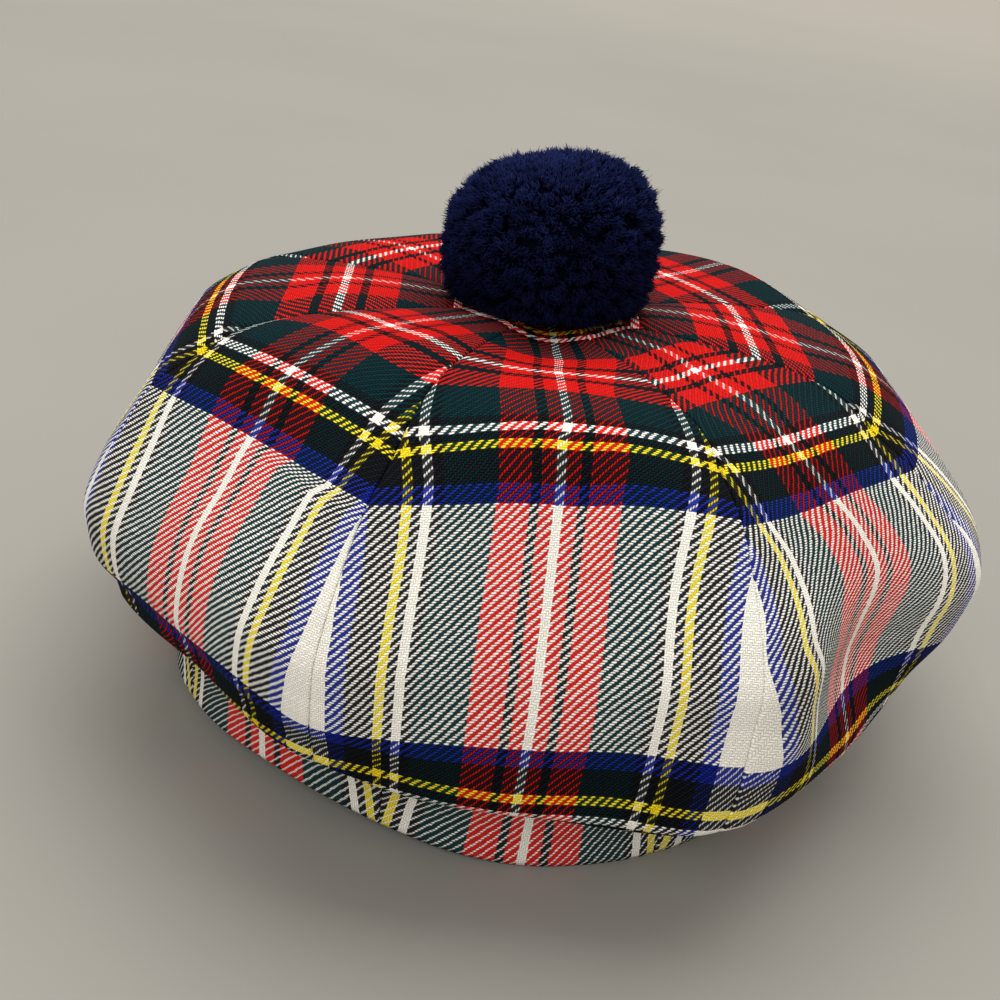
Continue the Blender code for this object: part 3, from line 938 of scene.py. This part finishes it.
def quad_mesh(name, points, quads, maps):
    """A smooth mesh of quads, with one UV map for each named array of places by point."""
    mesh = bpy.data.meshes.new(name)
    mesh.vertices.add(len(points))
    mesh.vertices.foreach_set("co", (points * MM).astype(np.float32).ravel())
    mesh.loops.add(quads.size)
    mesh.loops.foreach_set("vertex_index", quads.astype(np.int32).ravel())
    mesh.polygons.add(len(quads))
    starts = np.arange(0, quads.size, quads.shape[1], dtype=np.int32)
    mesh.polygons.foreach_set("loop_start", starts)
    for map_name, places in maps.items():
        layer = mesh.uv_layers.new(name=map_name)
        layer.uv.foreach_set("vector", places[quads.ravel()].astype(np.float32).ravel())
    mesh.update(calc_edges=True)
    mesh.validate()
    mesh.shade_smooth()
    return mesh


def cloth_wall(name, outer, inner, threads):
    """A gore's mesh from its two grids and the thread counts of their points."""
    rows, columns = outer.shape[:2]
    count = rows * columns
    points = np.concatenate([outer.reshape(-1, 3), inner.reshape(-1, 3)])
    inside = grid_quads(rows, columns, count)[:, ::-1]
    quads = np.concatenate([grid_quads(rows, columns, 0), inside, rim_quads(rows, columns)])
    counts = threads.reshape(-1, 2)
    low = counts.min(axis=0)
    span = (counts.max(axis=0) - low).max() * BAKE_MARGIN
    flat = (counts - low) / span
    faces = np.concatenate([flat * (0.5, 1.0), flat * (0.5, 1.0) + (0.5, 0.0)])
    maps = {"threads": np.concatenate([counts, counts]), "OFBake": faces}
    return quad_mesh(name, points, quads, maps)


# %% The grids of a gore
CROWN_START_V = 6.0
CROWN_ROW_STEP = 2.4
CROWN_MIDDLE_COLUMNS = 24
UNDER_ROW_STEP = 2.0
UNDER_MIDDLE_COLUMNS = 20
FOOT_V = 376.0
HEM_CLOSED = 0.98


def rows_to_seam(start, seam, step):
    """Rows from start to the rim seam, crowded near the seam."""
    near = np.array(SEAM_STEPS) / PICK * math.copysign(1.0, seam - start)
    last = seam - near[-1]
    even = np.linspace(start, last, int(abs(last - start) / step) + 1)
    return np.concatenate([even[:-1], seam - near[::-1]])


def gore_grids(middle_azimuth, rows, middle_columns):
    """Outer and inner grids of one gore, and where its points are in the pattern."""
    across = across_grid(rows, middle_columns)
    v = np.repeat(rows[:, None], across.shape[1], axis=1)
    azimuth = middle_azimuth + np.degrees(np.arctan(across * math.tan(math.pi / GORES)))
    radius, height = hat_surface(azimuth, v)
    n_r, n_z = outward(azimuth, v)
    foot = np.clip((v - FOOT_V) / (EDGE_V - FOOT_V), 0.0, 1.0)
    n_r = n_r + (1 - n_r) * foot
    n_z = n_z * (1 - foot)
    beside = (1 - np.abs(across)) * half_width(v)
    to_rim = np.abs(v - RIM_SEAM_V) * PICK
    sunk = np.maximum(groove(beside), groove(to_rim))
    hem = hem_round(v)
    tangential = -across * SEAM_OPEN
    smooth = placed(radius, height, azimuth, tangential)
    low = sunk + hem - waves(smooth) * np.clip(beside / WAVE_FADE, 0.0, 1.0)
    outer = placed(radius - low * n_r, height - low * n_z, azimuth, tangential)
    depth = CLOTH - hem
    inner = placed(radius - depth * n_r, height - depth * n_z, azimuth, tangential)
    return outer, inner, smooth, v


def hem_round(v):
    """How far both faces close in on each other at the hem of the opening."""
    short = np.clip(1 - (EDGE_V - v) * PICK / HEM_ROUND, 0.0, HEM_CLOSED)
    return HEM_ROUND * (1 - np.sqrt(1 - short**2))


# %% A gore as a sheet
def dress(piece, *nodes, slot):
    """What every piece needs: it rides on the body, and any solid that it stands for is hidden."""
    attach(piece, "root")
    if nodes:
        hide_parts(*nodes)


def add_gore(name, index, turn, rows, middle_columns, thread_counts, cloth):
    """One gore as a sheet of the cloth, dressing the solid of its name."""
    outer, inner, smooth, v = gore_grids((index - 1) * GORE_STEP + turn, rows, middle_columns)
    threads = thread_counts(index, share_of_width(smooth), v)
    mesh = cloth_wall(name + "_cloth", outer, inner, threads)
    mesh.materials.append(cloth)
    piece = linked(mesh.name, mesh)
    dress(piece, name, slot="tartan")
    return piece


# %% All sixteen gores
crown_rows = rows_to_seam(CROWN_START_V, RIM_SEAM_V, CROWN_ROW_STEP)
under_rows = rows_to_seam(EDGE_V, RIM_SEAM_V, UNDER_ROW_STEP)[::-1]
for index in range(1, GORES + 1):
    below = f"under_gore_{index}"
    under = add_gore(below, index, UNDER_TURN, under_rows, UNDER_MIDDLE_COLUMNS,
                     under_threads, under_twill)
    gore = add_gore(f"crown_gore_{index}", index, 0.0, crown_rows, CROWN_MIDDLE_COLUMNS,
                    crown_threads, crown_twill)
print("quads in a crown gore:", len(gore.data.polygons), "and below it:", len(under.data.polygons))

# %% [markdown]
# ## The pompom
#
# A pompom is hundreds of turns of yarn tied at their middle and cut, so from outside it is a ball
# of cut ends. Each end opens into a soft tuft of its plies, which curl a little, with dark gaps
# between the tufts. Hair particles could show that, but they don't leave Blender as a mesh. So each
# ply is a slim closed spike with one bend, and the ball is filled from arrays. The tufts start from
# an even spiral over the ball, and the random draws are seeded. A dark heart keeps light out of it.

# %% The ball of the pompom
POMPOM_RADIUS = 33.6
POMPOM_TOP = 57.0
POMPOM_WAIST = 29.0
POMPOM_FOOT = 13.0
POMPOM_BELOW = 30.0
POMPOM_SQUARE = 2.5
POMPOM_LOCK = 3.2
POMPOM_LEAN = (-1.0, 1.0)
POMPOM_TILT = 0.12


def spiral_directions(count):
    """Unit vectors spread evenly over a sphere."""
    step = np.arange(count) + 0.5
    z = 1 - 2 * step / count
    turn = step * math.pi * (3 - math.sqrt(5))
    side = np.sqrt(1 - z**2)
    return np.stack([side * np.cos(turn), side * np.sin(turn), z], axis=-1)


def unit(vectors):
    return vectors / np.linalg.norm(vectors, axis=-1, keepdims=True)


def ball_reach(directions):
    """How far the ball's surface is in these directions: a ball with squared shoulders."""
    above = (POMPOM_TOP - POMPOM_WAIST - POMPOM_LOCK) * (1 + POMPOM_TILT * directions[:, 0])
    depth = np.where(directions[:, 2] > 0, above, POMPOM_BELOW)
    out = np.hypot(directions[:, 0], directions[:, 1]) / (POMPOM_RADIUS - POMPOM_LOCK)
    up = np.abs(directions[:, 2]) / depth
    return (out**POMPOM_SQUARE + up**POMPOM_SQUARE) ** (-1 / POMPOM_SQUARE)


def in_frame(points):
    """From the middle of the ball's waist to the frame."""
    x = points[..., 0] + POMPOM_LEAN[0]
    y = points[..., 1] + POMPOM_LEAN[1]
    height = np.maximum(points[..., 2] + POMPOM_WAIST, POMPOM_FOOT)
    z = height + FLOOR_DROP + rise(x, y)
    return np.stack([x + HAT_AXIS[0], y + HAT_AXIS[1], z], axis=-1)


# %% Spikes of yarn
SPIKE_SIDES = 3
SPIKE_RINGS = ((0.0, 0.7), (0.65, 1.0))
SPIKE_POINTS = SPIKE_SIDES * len(SPIKE_RINGS) + 1
SPIKE_ASIDE = (0.4, 0.2, 0.89)
CELL_MARGIN = 0.1


def spikes(roots, elbows, tips, thickness):
    """Closed three-sided spikes that go from root to tip by way of an elbow."""
    along = unit(tips - roots)
    first = unit(np.cross(along, SPIKE_ASIDE))
    second = np.cross(along, first)
    rings = []
    for share, girth in SPIKE_RINGS:
        straight = roots + (tips - roots) * share
        bend = (elbows - (roots + tips) / 2) * 4 * share * (1 - share)
        for side in range(SPIKE_SIDES):
            turn = 2 * math.pi * side / SPIKE_SIDES
            offset = first * math.cos(turn) + second * math.sin(turn)
            rings.append(straight + bend + offset * (thickness * girth)[:, None])
    return np.stack(rings + [tips], axis=1)


def spike_triangles(count):
    """Triangles of that many spikes: the root's cap, the bands between rings, and the point."""
    one = [(0, 2, 1)]
    for side in range(SPIKE_SIDES):
        after = (side + 1) % SPIKE_SIDES
        for ring in range(len(SPIKE_RINGS) - 1):
            low = ring * SPIKE_SIDES
            high = low + SPIKE_SIDES
            one.append((low + side, low + after, high + after))
            one.append((low + side, high + after, high + side))
        one.append((high + side, high + after, SPIKE_POINTS - 1))
    first = np.arange(count)[:, None, None] * SPIKE_POINTS
    return (np.array(one)[None] + first).reshape(-1, 3)


def spike_maps(count, tones_and_shade):
    """Two UV maps: (tone and painted shade, share along the spike), and a small flat cell for each.
    """
    shares = [share for share, _ in SPIKE_RINGS for _ in range(SPIKE_SIDES)] + [1.0]
    sides = [side / SPIKE_SIDES for _ in SPIKE_RINGS for side in range(SPIKE_SIDES)] + [0.5]
    along = np.tile(shares, (count, 1))
    across = np.tile(sides, (count, 1))
    cells = math.ceil(math.sqrt(count))
    spike = np.arange(count)
    used = 1 - 2 * CELL_MARGIN
    cell_x = (spike % cells)[:, None] + CELL_MARGIN + used * across
    cell_y = (spike // cells)[:, None] + CELL_MARGIN + used * along
    flat = np.stack([cell_x, cell_y], axis=-1) / cells
    tone = np.stack([np.repeat(tones_and_shade[:, None], SPIKE_POINTS, axis=1), along], axis=-1)
    return {"fibre": tone.reshape(-1, 2), "OFBake": flat.reshape(-1, 2)}


# %% Tufts
TUFTS = 1150
TUFT_PLIES = 34
TUFT_SPREAD = 1.9
TUFT_LEAN = 0.2
TUFT_LENGTHS = (-1.6, 0.2)
TUFT_DOME = 1.4
TUFT_JITTER = 0.03
TUFT_ASIDE = (0.31, 0.87, 0.38)
ROOT_DEPTH = 4.5
ROOT_SPREAD = 0.35
PLY_CURL = 0.6
PLY_JITTER = 0.3
PLY_THICKNESS = (0.17, 0.27)
LOWEST_TUFT = -0.75
DARKEST_TONE = 0.45
TONE_SPREAD = 0.275
LOW_SHADE_HEIGHTS = (-0.7, 0.5)
LOW_SHADE_TONES = (0.3, 1.0)


def tufts(random):
    """Direction, lean and length of each cut end of yarn."""
    directions = unit(spiral_directions(TUFTS) + random.normal(0, TUFT_JITTER, (TUFTS, 3)))
    directions = directions[directions[:, 2] > LOWEST_TUFT]
    lean = unit(directions + random.normal(0, TUFT_LEAN, directions.shape))
    return directions, lean, random.uniform(*TUFT_LENGTHS, len(directions))


def plies(directions, lean, length, random):
    """Roots, elbows, tips and tones (painted darker low down) of the plies each cut end opens into.
    """
    def each(values):
        return np.repeat(values, TUFT_PLIES, axis=0)

    count = len(directions) * TUFT_PLIES
    outward_way = each(directions)
    aim = each(lean)
    first = unit(np.cross(aim, TUFT_ASIDE))
    second = np.cross(aim, first)
    turn = random.uniform(0, 2 * math.pi, count)
    spread = TUFT_SPREAD * np.sqrt(random.uniform(0, 1, count))
    aside = first * np.cos(turn)[:, None] + second * np.sin(turn)[:, None]
    surface = outward_way * ball_reach(outward_way)[:, None]
    root = surface - aim * ROOT_DEPTH + aside * (spread * ROOT_SPREAD)[:, None]
    dome = 1 - (spread / TUFT_SPREAD) ** 2
    stand = each(length) + dome * TUFT_DOME + random.normal(0, PLY_JITTER, count)
    tip = surface + aim * stand[:, None] + aside * spread[:, None]
    tip = tip + random.normal(0, PLY_JITTER, tip.shape)
    elbow = (root + tip) / 2 + random.normal(0, PLY_CURL, tip.shape)
    tone = DARKEST_TONE + each(random.uniform(0, TONE_SPREAD, len(directions)))
    tone = tone + random.uniform(0, TONE_SPREAD, count)
    # painted shade: the tone of a ply is darker the lower on the ball it points
    return root, elbow, tip, tone * np.interp(outward_way[:, 2], LOW_SHADE_HEIGHTS, LOW_SHADE_TONES)


def add_spikes(name, spike_points, tones_and_shade, wool, *nodes):
    """One mesh of spikes as a piece of the pompom."""
    count = len(spike_points)
    points = in_frame(spike_points).reshape(-1, 3)
    mesh = quad_mesh(name, points, spike_triangles(count), spike_maps(count, tones_and_shade))
    mesh.materials.append(wool)
    piece = linked(name, mesh)
    dress(piece, *nodes, slot="pompom_wool")
    print(name, "triangles:", len(mesh.polygons))


# %% [markdown]
# The wool is dyed navy, and it looks lighter where the cut tips catch the light and nearly black
# between the tufts. Lamps alone would show some of that, but the real fibres also swallow the light
# further in. So light and shade are painted along each spike: the colour climbs from painted shade
# at the root to painted light at the tip, from a share that its UV map carries. Each ply has a tone
# of its own, random, and darker low down, painted shade where the ball shades itself.

# %% Navy wool
# the two ends of the wool's colour: painted shade and painted light on the navy dye
PAINTED_SHADE_NAVY = dyed(3, 4, 15)
PAINTED_LIT_NAVY = dyed(39, 50, 105)
PATCHES = {"Scale": 90.0, "Detail": 3.0}
PATCH_TONE = 1.3
LEAST_PATCH = 0.25


def wool_finish():
    wool = Finish("navy_wool", Roughness=0.95, Specular_IOR_Level=0.03)
    fibre = wool.node("ShaderNodeUVMap", {"uv_map": "fibre"})
    split = wool.node("ShaderNodeSeparateXYZ", inputs={0: fibre})
    # painted light and shade: the colour climbs from the root of a spike to its cut tip
    out = split.output("Y") ** 2.0
    places = wool.node("ShaderNodeTexCoord", output="Object")
    patch = wool.node("ShaderNodeTexNoise", inputs={"Vector": places, **PATCHES})
    painted_light_and_tone = out * split * (patch * PATCH_TONE + LEAST_PATCH)
    return wool.surface(Base_Color=wool.mix(painted_light_and_tone, PAINTED_SHADE_NAVY, PAINTED_LIT_NAVY))


navy_wool = wool_finish()

# %% Yarn
RANDOM_SEED = 11

random = np.random.default_rng(RANDOM_SEED)
directions, lean, length = tufts(random)
ply_root, ply_elbow, ply_tip, ply_tone_and_shade = plies(directions, lean, length, random)
ply_points = spikes(ply_root, ply_elbow, ply_tip, random.uniform(*PLY_THICKNESS, len(ply_root)))
third = len(ply_points) // 3
add_spikes("pompom_yarn_top", ply_points[:third], ply_tone_and_shade[:third], navy_wool, "pompom")
add_spikes("pompom_yarn_middle", ply_points[third:2 * third], ply_tone_and_shade[third:2 * third], navy_wool)
add_spikes("pompom_yarn_below", ply_points[2 * third:], ply_tone_and_shade[2 * third:], navy_wool)

# %% [markdown]
# Wool is never smooth: loose fibres stand out of every cut end and blur the ball's outline. They
# are much thinner spikes, scattered over the tips of the plies.

# %% Loose fibres
FUZZ_FIBRES = 8000
FUZZ_THICKNESS = 0.04
FUZZ_LENGTH = (0.8, 2.4)
FUZZ_SUNK = (0.5, 2.0)
FUZZ_LEAN = 0.6
FUZZ_CURL = 0.4
FUZZ_TONES = (0.3, 1.0)


def loose_fibres(tips, aims, random):
    """Roots, elbows and tips of single fibres near the tips of the plies."""
    chosen = random.integers(0, len(tips), FUZZ_FIBRES)
    start = tips[chosen] - aims[chosen] * random.uniform(*FUZZ_SUNK, FUZZ_FIBRES)[:, None]
    way = unit(aims[chosen] + random.normal(0, FUZZ_LEAN, (FUZZ_FIBRES, 3)))
    end = start + way * random.uniform(*FUZZ_LENGTH, FUZZ_FIBRES)[:, None]
    return start, (start + end) / 2 + random.normal(0, FUZZ_CURL, end.shape), end


fuzz_root, fuzz_elbow, fuzz_tip = loose_fibres(ply_tip, unit(ply_tip - ply_root), random)
fuzz_points = spikes(fuzz_root, fuzz_elbow, fuzz_tip, np.full(FUZZ_FIBRES, FUZZ_THICKNESS))
add_spikes("pompom_fuzz", fuzz_points, random.uniform(*FUZZ_TONES, FUZZ_FIBRES), navy_wool)

# %% [markdown]
# The heart of the ball is a rough closed ball of the same wool, sunk below the tips. It is never
# seen as a shape: it blocks light and, painted nearly black as shade, keeps the gaps between the
# tufts dark.

# %% Heart of the pompom
HEART_SINK = 3.4
HEART_LUMPS = 0.7
HEART_LUMP_SIZE = 4.0
HEART_SHADE_TONE_AND_SHARE = (0.3, 0.15)


def heart_of_pompom():
    work = bmesh.new()
    bmesh.ops.create_icosphere(work, subdivisions=5, radius=1.0)
    directions = unit(np.array([vert.co for vert in work.verts]))
    triangles = np.array([[vert.index for vert in face.verts] for face in work.faces])
    work.free()
    lumps = [noise.noise(Vector(way) * POMPOM_RADIUS / HEART_LUMP_SIZE) for way in directions]
    reach = ball_reach(directions) - HEART_SINK + HEART_LUMPS * np.array(lumps)
    # painted shade: this tone and share give the heart the wool's darkest colour
    fibre = np.tile(HEART_SHADE_TONE_AND_SHARE, (len(directions), 1))
    points = in_frame(directions * reach[:, None])
    mesh = quad_mesh("pompom_heart", points, triangles, {"fibre": fibre})
    mesh.materials.append(navy_wool)
    piece = linked("pompom_heart", mesh)
    dress(piece, slot="pompom_wool")
    return piece


heart = heart_of_pompom()
print("triangles in the heart:", len(heart.data.polygons))

# %% [markdown]
# ## Sizes, and the end
#
# The dressed hat has to keep the size of its solids, so both boxes are written out side by side.

# %% Sizes
visual_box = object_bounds()
sizes = {
    "cad": [list(corner) for corner in cad_box],
    "visual": [list(corner) for corner in visual_box],
}
for name, (low, high) in sizes.items():
    print(name, "box in mm:", [round((b - a) / MM, 1) for a, b in zip(low, high)])
